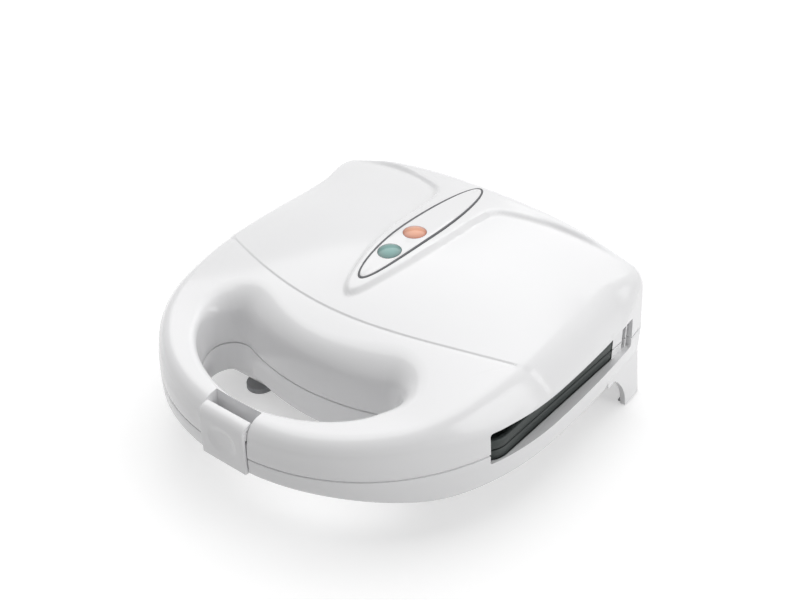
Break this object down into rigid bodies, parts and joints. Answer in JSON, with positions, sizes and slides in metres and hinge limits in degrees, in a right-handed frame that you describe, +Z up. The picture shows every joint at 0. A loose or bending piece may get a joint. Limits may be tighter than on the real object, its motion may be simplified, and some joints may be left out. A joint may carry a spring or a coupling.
{
  "type": "sandwich toaster",
  "caption": "Countertop sandwich toaster: two white moulded halves hinged at the back over grill plates, with a loop handle and a latch across its front.",
  "frame": {"origin": "middle of the bounding box at floor level", "axes": "+X right, -Y to the handle and latch, +Z up, with the lid closed"},
  "size_m": [0.2278, 0.222, 0.0942],
  "materials": {
    "housing": "glossy white moulded plastic",
    "coated_plate": "dark non-stick coating on cast metal",
    "element": "dull steel sheath",
    "reflector": "bright aluminium sheet",
    "ceramic": null,
    "screws": "plated steel",
    "rubber": "matt rubber",
    "fitting": "heat-resistant plastic",
    "brass": null,
    "steel": "zinc-plated steel",
    "panel": "glossy white cap with a grey border line",
    "green_lens": "tinted clear plastic, blue-green",
    "orange_lens": "tinted clear plastic, orange",
    "lamp_glass": "clear glass bulb"
  },
  "bodies": {
    "base": {"base_housing": "housing", "base_grill_plate": "coated_plate", "base_heating_element": "element", "base_reflector": "reflector", "base_element_terminals": "ceramic", "base_plate_screws": "screws", "front_feet": "rubber", "rear_leg_pads": "rubber", "inlet_bush": "fitting", "cord_clamp": "fitting", "cord_clamp_screws": "screws", "terminal_block": "fitting", "earth_tag": "brass", "base_hinge_brackets": "steel", "hinge_pins": "steel"},
    "lid": {"lid_housing": "housing", "lid_grill_plate": "coated_plate", "lid_heating_element": "element", "lid_reflector": "reflector", "lid_element_terminals": "ceramic", "lid_plate_screws": "screws", "lid_hinge_arms": "steel", "thermal_fuse": "steel", "indicator_panel": "panel", "ready_lens": "green_lens", "power_lens": "orange_lens", "lamp_holder": "fitting", "neon_lamps": "lamp_glass", "thermostat": "ceramic", "thermostat_bracket": "steel", "latch_pin": "steel"},
    "latch": {"latch": "housing"}
  },
  "joints": [
    {"name": "lid_hinge", "type": "hinge", "parent": "base", "child": "lid", "pos_m": [0, 0.106, 0.042], "axis": [-1, 0, 0], "range_deg": [0, 100]},
    {"name": "latch_hinge", "type": "hinge", "parent": "lid", "child": "latch", "pos_m": [0, -0.1035, 0.055], "axis": [-1, 0, 0], "range_deg": [0, 35]}
  ]
}
